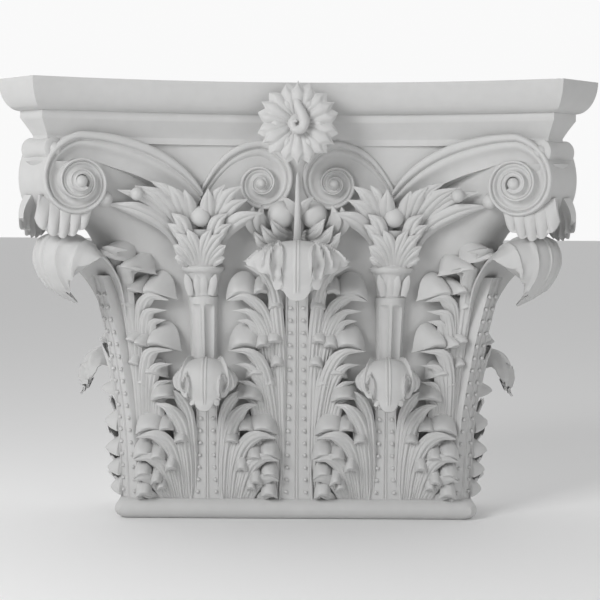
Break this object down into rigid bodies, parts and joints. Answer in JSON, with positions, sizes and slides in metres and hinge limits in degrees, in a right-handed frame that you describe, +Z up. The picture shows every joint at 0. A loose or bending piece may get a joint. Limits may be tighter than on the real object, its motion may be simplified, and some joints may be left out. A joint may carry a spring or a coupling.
{
  "type": "corinthian pilaster capital",
  "caption": "Half-depth Corinthian capital with a flat back: neck ring, bell with two rows of acanthus leaves, corner volutes, inner scrolls and a concave abacus with a flower.",
  "frame": {"origin": "middle of the neck's flat underside, on the centre plane and half way between the wall and the bell's foot", "axes": "+Z up, +X to the right as seen from the front, -Y out of the wall towards the viewer"},
  "size_m": [0.571, 0.2079, 0.434],
  "materials": {
    "primed_polyurethane": "matt off-white factory primer on a moulded surface"
  },
  "bodies": {
    "root": {"capital": "primed_polyurethane"}
  },
  "joints": []
}
